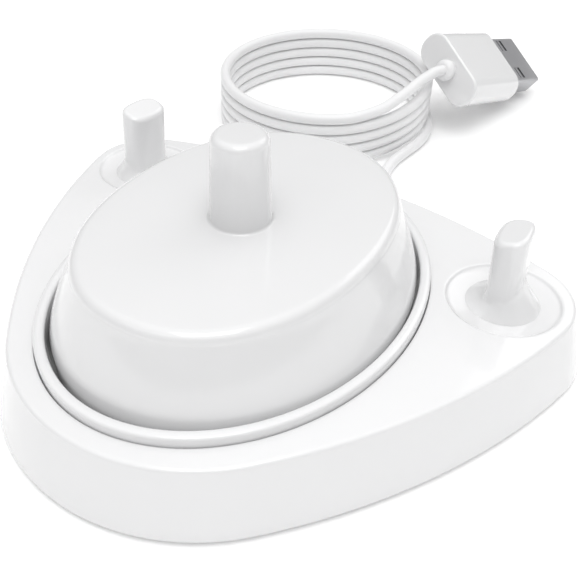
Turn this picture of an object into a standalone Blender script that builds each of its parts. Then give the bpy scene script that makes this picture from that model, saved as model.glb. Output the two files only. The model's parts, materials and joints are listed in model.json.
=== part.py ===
"""Toothbrush charger standing in its brush-head tray, with its coiled USB lead.

Frame: metres, +X right, -Y front, +Z up. The origin is on the table under the
middle of the tray. The charger and its lead are one body. The tray is an open
frame around the charger and lifts straight up off it.
"""
import math

import bmesh
import bpy
from mathutils import Matrix, Vector

MM = 0.001
GAP = 0.3 * MM  # clearance between pieces that touch

# Tray: a rounded triangle made of arcs, given by its upper edge
TRAY_HEIGHT = 10.5 * MM
TRAY_DRAFT = 2.5 * MM  # how far the skirt flares out at its foot
TRAY_WALL = 1.8 * MM
TRAY_EDGE = 0.6 * MM  # rounding of the upper edge
TRAY_LIFT = 0.5 * MM  # the skirt's clearance above the table
FRONT_ARC = (0.0, -8.5 * MM, 26.3 * MM)  # centre x, centre y, radius
CORNER_ARC = (32.0 * MM, 18.9 * MM, 10.1 * MM)
SIDE_RADIUS = 94.5 * MM
BACK_RADIUS = 102.3 * MM
TRAY_STEPS = 72
TRAY_FEET = [(x * MM, 24.0 * MM) for x in (-35.0, 35.0)]
FRONT_PAD_Y = -33.6 * MM
FRONT_PAD_SIZE = (9.0 * MM, 1.9 * MM, 1.3 * MM)
NOTCH_SIZE = (6.2 * MM, 7.4 * MM)  # cord arch at the rear: width, crown above the table

# Oval well in the tray and its collar
WELL_Y = 0.4 * MM
RIM_OUTER = (25.35 * MM, 32.1 * MM)  # half width, half length
RIM_WIDTH = 1.55 * MM
RIM_HEIGHT = 1.5 * MM
COLLAR_FOOT = 1.2 * MM
EAR_RADIUS = 2.9 * MM
EAR_OFFSET = 2.25 * MM  # from the rim to the screw
EAR_Z = (4.9 * MM, 5.9 * MM)
COLLAR_SCREW_ANGLES = (2, 48, 132, 178)

# Brush-head pegs in their dished seats
PEG_X = 32.3 * MM
PEG_Y = 18.4 * MM
DISH_RADIUS = 8.0 * MM
DISH_FLOOR_RADIUS = 5.6 * MM
DISH_DEPTH = 0.7 * MM
PEG_DISC_RADIUS = 5.2 * MM
PEG_TOP = 22.2 * MM
PEG_HALF = (2.25 * MM, 3.6 * MM)  # half sizes of the upright part, across and along
PEG_SQUARENESS = 2.4
PEG_SHIFT = (-0.28 * MM, -0.1 * MM)  # from the disc to the foot of the upright part
PEG_TURN = 5  # degrees that the pair is turned to face the front
PEG_LEAN = 0.055  # inward per unit of height
PEG_SLOPE = 0.22  # fall of the top towards the charger
PEG_FLARE = (1.7 * MM, 4.8 * MM)  # height of the flared foot, inward and outward side
PEG_STEPS = 24
PEG_STUB_RADIUS = 2.0 * MM  # pressed into the tray

# Charger
DOME_Y = 0.9 * MM  # middle of the flat top
DOME_TOP = 22.0 * MM
DOME_TOP_HALF = (19.4 * MM, 26.0 * MM)
DOME_BASE_HALF = (23.45 * MM, 29.5 * MM)
DOME_SQUARENESS = 2.15  # exponent of the oval, 2 is an ellipse
FOOT_SQUARENESS = 2.04
DOME_EDGE = 1.1 * MM
DOME_WALL = 1.8 * MM
DOME_FOOT = 1.2 * MM
PIN_Y = 0.4 * MM
PIN_TOP = 34.4 * MM
PIN_BASE_RADIUS = 4.25 * MM
PIN_TOP_RADIUS = 3.85 * MM
PIN_EDGE = 1.1 * MM
PIN_WALL = 1.2 * MM
DOME_STEPS = 48
PLATE_Z = (1.2 * MM, 2.9 * MM)
BOSS_RADIUS = 2.3 * MM
FOOT_RADIUS = 3.0 * MM
BOSS_PLACES = [(x * MM, y * MM) for x in (-13.5, 13.5) for y in (-11.0, 12.0)]
FOOT_PLACES = [(x * MM, y * MM) for x in (-11.0, 11.0) for y in (-18.5, 19.0)]

# Circuit board and the transmitter coil above it
BOARD_SIZE = (21.5 * MM, 36.0 * MM, 1.6 * MM)
BOARD_Z = 6.3 * MM
BOBBIN_Z = (9.6 * MM, 19.4 * MM)
BOBBIN_RADIUS = 8.0 * MM
CORE_RADIUS = 2.0 * MM

# Cord and plug
CORD_DIAMETER = 2.15 * MM
CORD_PITCH = 2.17 * MM
COIL_CENTRE = (-26.8 * MM, 71.2 * MM)
COIL_RADIUS = 21.5 * MM
COIL_TURNS_HIGH = 5
COIL_EDGE = 1.0 * MM  # rounding of the wound bundle's corners
GLAND_Z = 4.6 * MM
GLAND_PROFILE = [(26.2, 1.5), (26.2, 2.9), (27.0, 2.9), (27.0, 2.0), (29.9, 2.0), (30.1, 2.3),
                 (31.2, 2.2), (34.0, 1.85), (37.0, 1.6), (40.2, 1.4), (40.5, 1.2)]  # Y, radius
CLAMP_Y = 23.4 * MM
CLAMP_SCREW_X = 3.4 * MM
LEAD_ROUTE = [(0, 40.8, 4.6), (0, 43, 4.35), (-0.4, 46, 3.1), (-1.5, 49.5, 1.8),
              (-2.9, 53, 1.2), (-3.9, 56.5, 1.09), (-4.25, 60, 1.09), (-4.1, 62.6, 1.09)]
TAIL_ROUTE = [(-6.4, 66.3, 12.35), (-6.05, 68.0, 12.6), (-5.6, 71.4, 13.1), (-5.0, 74.4, 13.42),
              (-4.5, 76.4, 13.55), (-4.11, 77.5, 13.53)]
PLUG_JOINT = Vector((0.14, 97.84, 8.13)) * MM  # middle of the face that the metal shell leaves
PLUG_AXIS = Vector((0.198, 0.947, -0.253)).normalized()
PLUG_WIDE = Vector((0.792, -0.307, -0.528))
PLUG_BODY = (16.5 * MM, 7.2 * MM, 18.6 * MM)
PLUG_CORNER = 3.3 * MM
SHELL_SIZE = (12.0 * MM, 4.5 * MM, 12.0 * MM)
SHELL_SHEET = 0.35 * MM

WHITE = (0.80, 0.80, 0.81, 1)
FINISHES = {  # colour, roughness, metallic
    "white_gloss": (WHITE, 0.18, 0),
    "white_cord": ((0.78, 0.78, 0.79, 1), 0.4, 0),
    "grey_rubber": ((0.45, 0.45, 0.46, 1), 0.8, 0),
    "steel": ((0.62, 0.62, 0.64, 1), 0.35, 1),
    "ferrite": ((0.08, 0.08, 0.09, 1), 0.7, 0),
    "copper": ((0.72, 0.34, 0.16, 1), 0.35, 1),
    "bobbin_plastic": ((0.12, 0.12, 0.13, 1), 0.5, 0),
    "board_green": ((0.04, 0.22, 0.10, 1), 0.45, 0),
    "component_black": ((0.03, 0.03, 0.035, 1), 0.5, 0),
    "film_yellow": ((0.75, 0.55, 0.08, 1), 0.4, 0),
    "wire_red": ((0.6, 0.03, 0.03, 1), 0.45, 0),
    "wire_black": ((0.03, 0.03, 0.03, 1), 0.45, 0),
    "contact_gold": ((0.85, 0.65, 0.28, 1), 0.25, 1),
}


# ---------------------------------------------------------------- scene helpers
def start_scene():
    for old in list(bpy.data.objects):
        bpy.data.objects.remove(old, do_unlink=True)
    groups = []
    for name in ("brush_charger_set", "cutters"):
        group = bpy.data.collections.new(name)
        bpy.context.scene.collection.children.link(group)
        groups.append(group)
    return groups


def make_material(name):
    colour, roughness, metallic = FINISHES[name]
    material = bpy.data.materials.new(name)
    material.use_nodes = True
    shader = material.node_tree.nodes["Principled BSDF"]
    shader.inputs["Base Color"].default_value = colour
    shader.inputs["Roughness"].default_value = roughness
    shader.inputs["Metallic"].default_value = metallic
    return material


PARTS, CUTTERS = start_scene()
MATERIALS = {name: make_material(name) for name in FINISHES}


def add_object(name, data, finish=None, group=None):
    obj = bpy.data.objects.new(name, data)
    (group or PARTS).objects.link(obj)
    if finish:
        data.materials.append(MATERIALS[finish])
    return obj


def from_bmesh(name, bm, finish=None, group=None):
    bmesh.ops.recalc_face_normals(bm, faces=bm.faces)
    mesh = bpy.data.meshes.new(name)
    bm.to_mesh(mesh)
    bm.free()
    mesh.shade_smooth()
    mesh.set_sharp_from_angle(angle=math.radians(35))
    return add_object(name, mesh, finish, group)


def hide_cutter(obj):
    obj.display_type = "WIRE"
    obj.hide_render = True
    return obj


def boolean(target, tool, operation="DIFFERENCE"):
    modifier = target.modifiers.new(operation.lower(), "BOOLEAN")
    modifier.operation = operation
    modifier.object = hide_cutter(tool)
    modifier.solver = "EXACT"


def bevel(obj, width, segments=2, angle=40):
    modifier = obj.modifiers.new("bevel", "BEVEL")
    modifier.width = width
    modifier.segments = segments
    modifier.limit_method = "ANGLE"
    modifier.angle_limit = math.radians(angle)


# ---------------------------------------------------------------- shape helpers
def box(name, centre, size, finish=None, group=None):
    bm = bmesh.new()
    bmesh.ops.create_cube(bm, size=1, matrix=Matrix.Translation(centre) @ Matrix.Diagonal((*size, 1)))
    return from_bmesh(name, bm, finish, group)


def cylinder(name, start, end, radius, finish=None, group=None, end_radius=None, sides=24):
    axis = Vector(end) - Vector(start)
    turn = axis.to_track_quat("Z", "Y").to_matrix().to_4x4()
    place = Matrix.Translation((Vector(start) + Vector(end)) / 2) @ turn
    bm = bmesh.new()
    bmesh.ops.create_cone(bm, cap_ends=True, segments=sides, radius1=radius,
                          radius2=radius if end_radius is None else end_radius,
                          depth=axis.length, matrix=place)
    return from_bmesh(name, bm, finish, group)


def turned(name, profile, centre, finish, steps=24, closed=False):
    """Turn (radius, height) points about a vertical axis through centre."""
    bm = bmesh.new()
    points = [bm.verts.new((r, 0, z)) for r, z in profile]
    for a, b in zip(points, points[1:] + points[:1] if closed else points[1:]):
        bm.edges.new((a, b))
    mesh = bpy.data.meshes.new(name)
    bm.to_mesh(mesh)
    bm.free()
    obj = add_object(name, mesh, finish)
    obj.location = centre
    screw = obj.modifiers.new("turn", "SCREW")
    screw.steps = screw.render_steps = steps
    screw.use_merge_vertices = True
    screw.merge_threshold = 1e-6
    return obj


def skin(name, rings, finish=None, group=None, tube=False):
    """Loft through rings of equal length. A tube closes on itself, else the ends are capped."""
    bm = bmesh.new()
    loops = [[bm.verts.new(p) for p in ring] for ring in rings]
    pairs = list(zip(loops, loops[1:] + loops[:1] if tube else loops[1:]))
    count = len(rings[0])
    for low, high in pairs:
        for i in range(count):
            j = (i + 1) % count
            bm.faces.new((low[i], low[j], high[j], high[i]))
    if not tube:
        bm.faces.new(loops[0])
        bm.faces.new(loops[-1])
    return from_bmesh(name, bm, finish, group)


def oval(half, centre_y, z, steps, power=2.0, centre_x=0.0):
    """Ring of points on a superellipse, evenly spread by angle."""
    ring = []
    for i in range(steps):
        angle = 2 * math.pi * i / steps
        c, s = math.cos(angle), math.sin(angle)
        reach = (abs(c / half[0]) ** power + abs(s / half[1]) ** power) ** (-1 / power)
        ring.append(Vector((centre_x + reach * c, centre_y + reach * s, z)))
    return ring


def tray_arcs():
    """Right half of the tray's outline: (centre, radius, from angle, to angle)."""
    front, corner = Vector(FRONT_ARC[:2]), Vector(CORNER_ARC[:2])
    to_front, to_corner = SIDE_RADIUS - FRONT_ARC[2], SIDE_RADIUS - CORNER_ARC[2]
    span = corner - front
    along = (to_front ** 2 - to_corner ** 2 + span.length ** 2) / (2 * span.length)
    away = math.sqrt(to_front ** 2 - along ** 2)
    direction = span.normalized()
    side = front + along * direction + away * Vector((-direction.y, direction.x))
    back = Vector((0, corner.y - math.sqrt((BACK_RADIUS - CORNER_ARC[2]) ** 2 - corner.x ** 2)))

    def heading(a, b):
        return math.atan2(b.y - a.y, b.x - a.x)

    first, second, third = heading(side, front), heading(side, corner), heading(back, corner)
    return [(front, FRONT_ARC[2], -math.pi / 2, first), (side, SIDE_RADIUS, first, second),
            (corner, CORNER_ARC[2], second, third), (back, BACK_RADIUS, third, math.pi / 2)]


def tray_outline(offset, z):
    """Tray outline grown by offset, as a ring spread by angle about the well's middle."""
    ring = []
    for i in range(TRAY_STEPS):
        angle = 2 * math.pi * i / TRAY_STEPS
        ray = Vector((abs(math.cos(angle)), math.sin(angle)))
        reach = 0.0
        for centre, radius, low, high in tray_arcs():
            gap = Vector((0, WELL_Y)) - centre
            b = ray.dot(gap)
            root = b * b - gap.length_squared + (radius + offset) ** 2
            if root < 0:
                continue
            t = -b + math.sqrt(root)
            hit = Vector((0, WELL_Y)) + t * ray - centre
            if low - 1e-6 <= math.atan2(hit.y, hit.x) <= high + 1e-6:
                reach = t
        x = reach * ray.x * (1 if math.cos(angle) >= 0 else -1)
        ring.append(Vector((x, WELL_Y + reach * ray.y, z)))
    return ring


def shrink(half, amount):
    return (half[0] - amount, half[1] - amount)


def smooth_path(points, per_span=2):
    """Catmull-Rom curve through hand-set points, in metres."""
    knots = [Vector(p) * MM for p in points]
    knots = [2 * knots[0] - knots[1]] + knots + [2 * knots[-1] - knots[-2]]
    path = []
    for p0, p1, p2, p3 in zip(knots, knots[1:], knots[2:], knots[3:]):
        for k in range(per_span):
            t = k / per_span
            path.append(0.5 * (2 * p1 + (p2 - p0) * t + (2 * p0 - 5 * p1 + 4 * p2 - p3) * t * t
                               + (3 * p1 - p0 - 3 * p2 + p3) * t ** 3))
    return path + [knots[-2]]


def tube(name, path, diameter, finish):
    curve = bpy.data.curves.new(name, "CURVE")
    curve.dimensions = "3D"
    curve.bevel_depth = diameter / 2
    curve.bevel_resolution = 2
    curve.use_fill_caps = True
    spline = curve.splines.new("POLY")
    spline.points.add(len(path) - 1)
    for point, place in zip(spline.points, path):
        point.co = (*place, 1)
    return add_object(name, curve, finish)


# ---------------------------------------------------------------- tray
def build_tray_shell():
    top, under = TRAY_HEIGHT, TRAY_HEIGHT - TRAY_WALL
    hole = (RIM_OUTER[0] + GAP, RIM_OUTER[1] + GAP)
    rings = [tray_outline(TRAY_DRAFT, TRAY_LIFT),
             tray_outline(0.1 * TRAY_DRAFT, top - TRAY_EDGE),
             tray_outline(-0.3 * TRAY_EDGE, top - 0.3 * TRAY_EDGE),
             tray_outline(-TRAY_EDGE, top),
             oval(hole, WELL_Y, top, TRAY_STEPS),
             oval(hole, WELL_Y, under, TRAY_STEPS),
             tray_outline(-TRAY_WALL, under),
             tray_outline(TRAY_DRAFT - TRAY_WALL, TRAY_LIFT)]
    shell = skin("tray_shell", rings, "white_gloss", tube=True)
    slope = (DISH_RADIUS - DISH_FLOOR_RADIUS) / DISH_DEPTH
    for side in (-1, 1):
        x, y = side * PEG_X, PEG_Y
        dish = cylinder(f"dish_cutter_{side}", (x, y, top - DISH_DEPTH), (x, y, top + MM),
                        DISH_FLOOR_RADIUS, group=CUTTERS, end_radius=DISH_RADIUS + slope * MM,
                        sides=40)
        boolean(shell, dish)
        socket = cylinder(f"socket_cutter_{side}", (x, y, under - MM), (x, y, top),
                          PEG_STUB_RADIUS + GAP, group=CUTTERS, sides=20)
        boolean(shell, socket)
    for k, (x, y) in enumerate(collar_screw_places()):
        boss = cylinder(f"deck_boss_{k}", (x, y, EAR_Z[1] + GAP), (x, y, under + 0.6 * MM),
                        1.9 * MM, group=CUTTERS, sides=14)
        boolean(shell, boss, "UNION")
        pilot = cylinder(f"pilot_{k}", (x, y, EAR_Z[1]), (x, y, under + 0.9 * MM),
                         1.15 * MM, group=CUTTERS, sides=12)
        boolean(shell, pilot)
    for k, (x, y) in enumerate(TRAY_FEET):
        post = cylinder(f"foot_post_{k}", (x, y, 1.9 * MM), (x, y, under + 0.6 * MM), 2.6 * MM,
                        group=CUTTERS, sides=16)
        boolean(shell, post, "UNION")
    rib_foot, rib_top = FRONT_PAD_SIZE[2] + GAP, under + 0.5 * MM
    rib = box("front_rib", (0, FRONT_PAD_Y, (rib_foot + rib_top) / 2),
              (FRONT_PAD_SIZE[0] + MM, FRONT_PAD_SIZE[1], rib_top - rib_foot), group=CUTTERS)
    boolean(shell, rib, "UNION")
    boolean(shell, cord_notch("tray_notch"))


def cord_notch(name):
    """Arch for the cord, open to the table, through the rear of the tray and its collar."""
    width, crown = NOTCH_SIZE
    outline = [Vector((-width / 2, 0, -MM)), Vector((width / 2, 0, -MM))]
    for k in range(9):
        angle = math.pi * k / 8
        outline.append(Vector((width / 2 * math.cos(angle), 0,
                               crown - width / 2 + width / 2 * math.sin(angle))))
    rings = [[p + Vector((0, y * MM, 0)) for p in outline] for y in (27, 42)]
    return skin(name, rings, group=CUTTERS)


def collar_screw_places():
    half = shrink(RIM_OUTER, -EAR_OFFSET)
    return [(half[0] * math.cos(math.radians(a)), WELL_Y + half[1] * math.sin(math.radians(a)))
            for a in COLLAR_SCREW_ANGLES]


def build_collar():
    outer, width = RIM_OUTER, RIM_WIDTH
    top, low = TRAY_HEIGHT + RIM_HEIGHT, COLLAR_FOOT
    profile = [(0, low), (0, top - 0.55 * MM), (0.2 * width, top - 0.12 * MM), (0.5 * width, top),
               (0.8 * width, top - 0.12 * MM), (width, top - 0.55 * MM), (width, low)]
    rings = [oval(shrink(outer, inset), WELL_Y, z, DOME_STEPS) for inset, z in profile]
    collar = skin("well_collar", rings, "white_gloss", tube=True)
    for k, (x, y) in enumerate(collar_screw_places()):
        ear = cylinder(f"collar_ear_{k}", (x, y, EAR_Z[0]), (x, y, EAR_Z[1]), EAR_RADIUS,
                       group=CUTTERS, sides=20)
        boolean(collar, ear, "UNION")
        hole = cylinder(f"collar_hole_{k}", (x, y, 3 * MM), (x, y, 7 * MM), 1.15 * MM,
                        group=CUTTERS, sides=12)
        boolean(collar, hole)
    boolean(collar, cord_notch("collar_notch"))


def screw(name, x, y, head_z, direction, head_radius, shank_radius, length, head_height):
    """Pan-head screw whose head's seat is at head_z and whose shank runs along direction."""
    d = direction
    profile = [(0, head_z - d * head_height), (0.8 * head_radius, head_z - d * head_height),
               (head_radius, head_z - d * 0.6 * head_height), (head_radius, head_z),
               (shank_radius, head_z), (shank_radius, head_z + d * (length - shank_radius)),
               (0, head_z + d * length)]
    if d > 0:
        profile.reverse()
    return turned(name, profile, (x, y, 0), "steel", steps=10)


def peg_ring(side, height, z, inset=0.0):
    """Ring of a peg at a height above its seat: a disc that narrows to a turned oval."""
    turn = math.radians(PEG_TURN)
    above = max(0.0, height - PEG_FLARE[1])
    tilt = PEG_SLOPE * above / (PEG_TOP - TRAY_HEIGHT - PEG_FLARE[1])
    ring = []
    for k in range(PEG_STEPS):
        angle = 2 * math.pi * k / PEG_STEPS
        c, s = math.cos(angle), math.sin(angle)
        reach = (abs(c / (PEG_HALF[0] - inset)) ** PEG_SQUARENESS
                 + abs(s / (PEG_HALF[1] - inset)) ** PEG_SQUARENESS) ** (-1 / PEG_SQUARENESS)
        x = reach * (c * math.cos(turn) - s * math.sin(turn)) + PEG_SHIFT[0] - PEG_LEAN * above
        y = reach * (c * math.sin(turn) + s * math.cos(turn)) + PEG_SHIFT[1]
        flare = PEG_FLARE[0] + (PEG_FLARE[1] - PEG_FLARE[0]) * ((1 + c) / 2) ** 2
        narrow = 1 - (1 - min(1.0, height / flare)) ** 1.3
        x += (PEG_DISC_RADIUS * c - x) * (1 - narrow)
        y += (PEG_DISC_RADIUS * s - y) * (1 - narrow)
        ring.append(Vector((side * (PEG_X + x), PEG_Y + y, z + tilt * x)))
    return ring


def build_pegs():
    """Rounded pegs with a flared foot, pressed into the tray's dished seats."""
    seat = TRAY_HEIGHT - DISH_DEPTH + GAP
    levels = [(seat + h * MM, 0.0) for h in (0, 0.6, 1.2, 1.7, 2.6, 3.6, 4.8)]
    levels += [(PEG_TOP - 0.8 * MM, 0.0), (PEG_TOP - 0.23 * MM, 0.23 * MM), (PEG_TOP, 0.8 * MM)]
    for side, name in ((-1, "peg_left"), (1, "peg_right")):
        peg = skin(name, [peg_ring(side, z - seat, z, inset) for z, inset in levels], "white_gloss")
        stub = cylinder(f"{name}_stub", (side * PEG_X, PEG_Y, seat - 3 * MM),
                        (side * PEG_X, PEG_Y, seat + 0.5 * MM), PEG_STUB_RADIUS, group=CUTTERS,
                        sides=16)
        boolean(peg, stub, "UNION")


def build_tray_feet():
    for name, (x, y) in zip(("rear_left", "rear_right"), TRAY_FEET):
        profile = [(0, 1.6 * MM), (2.4 * MM, 1.6 * MM), (2.4 * MM, 0.3 * MM), (2.1 * MM, 0), (0, 0)]
        turned(f"tray_foot_{name}", profile, (x, y, 0), "grey_rubber", steps=16)
    front = box("tray_foot_front", (0, FRONT_PAD_Y, FRONT_PAD_SIZE[2] / 2), FRONT_PAD_SIZE,
                "grey_rubber")
    bevel(front, 0.25 * MM, segments=1)


# ---------------------------------------------------------------- charger housing
def dome_rings(inset):
    """Rings up the dome and its pin, moved inward by inset for the inside face."""
    inner = inset > 0
    pin_inset = PIN_WALL if inner else 0.0
    low = DOME_FOOT
    top = DOME_TOP - (DOME_WALL if inner else 0)
    pin_top = PIN_TOP - pin_inset
    edge = 0.3 * MM if inner else DOME_EDGE
    shoulder = TRAY_HEIGHT - 1.0 * MM
    rings = [oval(shrink(DOME_BASE_HALF, inset), WELL_Y, low, DOME_STEPS, FOOT_SQUARENESS),
             oval(shrink(DOME_BASE_HALF, inset + 0.1 * MM), WELL_Y, shoulder, DOME_STEPS,
                  FOOT_SQUARENESS)]
    for drop, tuck in ((1.0, 0.0), (0.3, 0.3), (0.0, 1.0)):
        half = shrink(DOME_TOP_HALF, inset + edge * (tuck - 0.08))
        rings.append(oval(half, DOME_Y, top - drop * edge, DOME_STEPS, DOME_SQUARENESS))
    base, tip = PIN_BASE_RADIUS - pin_inset, PIN_TOP_RADIUS - pin_inset
    round_off = 0.3 * MM if inner else PIN_EDGE
    for radius, z in ((base + 0.45 * MM, top), (base + 0.1 * MM, top + 0.15 * MM),
                      (base, top + 0.6 * MM), (tip, pin_top - round_off),
                      (tip - 0.3 * round_off, pin_top - 0.3 * round_off),
                      (tip - round_off, pin_top)):
        rings.append(oval((radius, radius), PIN_Y, z, DOME_STEPS))
    return rings


def build_cover():
    rings = list(reversed(dome_rings(DOME_WALL))) + dome_rings(0.0)
    cover = skin("charger_cover", rings, "white_gloss")
    for k, (x, y) in enumerate(BOSS_PLACES):
        boss = cylinder(f"cover_boss_{k}", (x, y, PLATE_Z[1] + GAP), (x, y, DOME_TOP - 1.1 * MM),
                        BOSS_RADIUS, group=CUTTERS, sides=16)
        boolean(cover, boss, "UNION")
        pilot = cylinder(f"cover_pilot_{k}", (x, y, PLATE_Z[1]), (x, y, 11 * MM), 1.3 * MM,
                         group=CUTTERS, sides=12)
        boolean(cover, pilot)
    hole = cylinder("gland_hole", (0, 24 * MM, GLAND_Z), (0, 34 * MM, GLAND_Z), 2.3 * MM,
                    group=CUTTERS, sides=24)
    boolean(cover, hole)


def build_base_plate():
    half = shrink(DOME_BASE_HALF, DOME_WALL + GAP)
    rings = [oval(half, WELL_Y, PLATE_Z[0], DOME_STEPS, FOOT_SQUARENESS),
             oval(half, WELL_Y, PLATE_Z[1], DOME_STEPS, FOOT_SQUARENESS)]
    plate = skin("base_plate", rings, "white_gloss")
    for k, (x, y) in enumerate(FOOT_PLACES):
        pocket = cylinder(f"foot_pocket_{k}", (x, y, 0), (x, y, 2.0 * MM), FOOT_RADIUS + GAP,
                          group=CUTTERS, sides=20)
        boolean(plate, pocket)
    for k, (x, y) in enumerate(BOSS_PLACES):
        bore = cylinder(f"plate_bore_{k}", (x, y, 0), (x, y, 4 * MM), 1.45 * MM,
                        group=CUTTERS, sides=12)
        boolean(plate, bore)
        sink = cylinder(f"plate_sink_{k}", (x, y, 0), (x, y, 2.1 * MM), 2.6 * MM,
                        group=CUTTERS, sides=16)
        boolean(plate, sink)
    for x in (-9, 9):
        for y in (-14.5, 14.5):
            post = cylinder(f"board_post_{x}_{y}", (x * MM, y * MM, PLATE_Z[1] - 0.3 * MM),
                            (x * MM, y * MM, BOARD_Z - GAP), 1.6 * MM, group=CUTTERS, sides=12)
            boolean(plate, post, "UNION")
    for side in (-1, 1):
        bore = cylinder(f"plate_clamp_bore_{side}", (side * CLAMP_SCREW_X, CLAMP_Y, 1.7 * MM),
                        (side * CLAMP_SCREW_X, CLAMP_Y, 4 * MM), 0.95 * MM, group=CUTTERS, sides=12)
        boolean(plate, bore)
    notch = cylinder("plate_gland_notch", (0, 25.7 * MM, GLAND_Z), (0, 30 * MM, GLAND_Z), 3.2 * MM,
                     group=CUTTERS, sides=20)
    boolean(plate, notch)


def build_gasket():
    outer = shrink(DOME_BASE_HALF, DOME_WALL + 0.55 * MM)
    low = PLATE_Z[1] + GAP
    corners = [(0, low), (0, low + MM), (MM, low + MM), (MM, low)]
    rings = [oval(shrink(outer, inset), WELL_Y, z, 48, FOOT_SQUARENESS) for inset, z in corners]
    gasket = skin("base_gasket", rings, "grey_rubber", tube=True)
    relief = cylinder("gasket_relief", (0, 20 * MM, GLAND_Z), (0, 34 * MM, GLAND_Z), 3.3 * MM,
                      group=CUTTERS, sides=16)
    boolean(gasket, relief)


def build_charger_feet():
    names = ("front_left", "rear_left", "front_right", "rear_right")
    for name, (x, y) in zip(names, FOOT_PLACES):
        profile = [(0, 1.7 * MM), (FOOT_RADIUS, 1.7 * MM), (FOOT_RADIUS, 0.3 * MM),
                   (FOOT_RADIUS - 0.3 * MM, 0), (0, 0)]
        turned(f"charger_foot_{name}", profile, (x, y, 0), "grey_rubber", steps=16)


# ---------------------------------------------------------------- charger inside
def build_transmitter():
    low, high = BOBBIN_Z
    centre = (0, PIN_Y, 0)
    turned("ferrite_core", [(0, 32.0 * MM), (1.7 * MM, 32.0 * MM), (CORE_RADIUS, 31.7 * MM),
                            (CORE_RADIUS, low + 0.3 * MM), (0, low + 0.3 * MM)],
           centre, "ferrite", steps=16)
    bore, barrel, flange = CORE_RADIUS + GAP, 3.2 * MM, BOBBIN_RADIUS
    spool = [(bore, high), (flange, high), (flange, high - MM), (barrel, high - MM),
             (barrel, low + MM), (flange, low + MM), (flange, low), (bore, low)]
    turned("coil_bobbin", spool, centre, "bobbin_plastic", closed=True)
    gap = GAP
    winding = [(barrel + gap, high - MM - gap), (6.9 * MM, high - MM - gap),
               (7.3 * MM, high - 1.6 * MM), (7.3 * MM, low + 1.6 * MM), (6.9 * MM, low + MM + gap),
               (barrel + gap, low + MM + gap)]
    turned("primary_coil", winding, centre, "copper", closed=True)
    for name, side in (("coil_lead_start", -1), ("coil_lead_finish", 1)):
        path = [(side * 7.9, 0.4, 12.0), (side * 8.9, 0.4, 11.6), (side * 9.2, 0.4, 10.4),
                (side * 9.2, 0.4, 8.5)]
        tube(name, smooth_path(path), 0.5 * MM, "copper")


def build_board():
    x, y, thick = BOARD_SIZE
    box("circuit_board", (0, 0, BOARD_Z + thick / 2), (x, y, thick), "board_green")
    top = BOARD_Z + thick + GAP
    parts = [  # name, centre x, centre y, size, finish
        ("film_capacitor", -5.5, 13.5, (9, 4.5, 6.0), "film_yellow"),
        ("driver_chip", -5.5, -13.0, (5, 4, 1.5), "component_black"),
        ("power_transistor", 5.0, -13.0, (6.5, 6, 2.3), "component_black"),
        ("rectifier_diode", 0.3, 9.2, (4.2, 2.6, 1.1), "component_black"),
        ("sense_resistor", 0.0, -12.6, (1.6, 3.2, 0.6), "component_black")]
    for name, px, py, size, finish in parts:
        size = Vector(size) * MM
        piece = box(name, (px * MM, py * MM, top + size.z / 2), size, finish)
        bevel(piece, 0.15 * MM, segments=1)
    can = [(0, top + 6.8 * MM), (2.8 * MM, top + 6.8 * MM), (3.15 * MM, top + 6.4 * MM),
           (3.15 * MM, top), (0, top)]
    turned("electrolytic_capacitor", can, (6.2 * MM, 13.6 * MM, 0), "steel", steps=16)


def build_cord_entry():
    """Gland moulded round the cord, its clamp and the two wires to the board."""
    turn = Matrix.Translation((0, 0, GLAND_Z)) @ Matrix.Rotation(-math.pi / 2, 4, "X")
    rings = [[turn @ p for p in oval((radius * MM, radius * MM), 0, y * MM, 14)]
             for y, radius in GLAND_PROFILE]
    skin("cord_gland", rings, "white_cord")
    tube("inner_cord", smooth_path([(0, 25.9, 4.6), (0, 23.5, 4.6), (0, 21.4, 4.6)]),
         CORD_DIAMETER, "white_cord")
    for name, side, finish in (("wire_red", -1, "wire_red"), ("wire_black", 1, "wire_black")):
        path = [(side * 0.6, 21.0, 4.7), (side * 1.2, 20.0, 5.4), (side * 2.0, 19.4, 7.2),
                (side * 2.4, 18.2, 8.9), (side * 2.4, 16.9, 8.8)]
        tube(name, smooth_path(path), 0.9 * MM, finish)
    clamp = box("cord_clamp", (0, CLAMP_Y, 4.9 * MM), (10 * MM, 3.2 * MM, 3.4 * MM), "white_gloss")
    saddle = cylinder("clamp_saddle", (0, 20 * MM, GLAND_Z), (0, 27 * MM, GLAND_Z),
                      CORD_DIAMETER / 2 + GAP, group=CUTTERS, sides=16)
    boolean(clamp, saddle)
    slot = box("clamp_slot", (0, CLAMP_Y, 3.6 * MM), (2.75 * MM, 5 * MM, 2 * MM), group=CUTTERS)
    boolean(clamp, slot)
    for side in (-1, 1):
        bore = cylinder(f"clamp_bore_{side}", (side * CLAMP_SCREW_X, CLAMP_Y, 2 * MM),
                        (side * CLAMP_SCREW_X, CLAMP_Y, 8 * MM), 0.95 * MM, group=CUTTERS, sides=12)
        boolean(clamp, bore)
    for name, side in (("clamp_screw_left", -1), ("clamp_screw_right", 1)):
        screw(name, side * CLAMP_SCREW_X, CLAMP_Y, 6.9 * MM, -1, 1.4 * MM, 0.65 * MM, 4.9 * MM,
              0.9 * MM)


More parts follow.
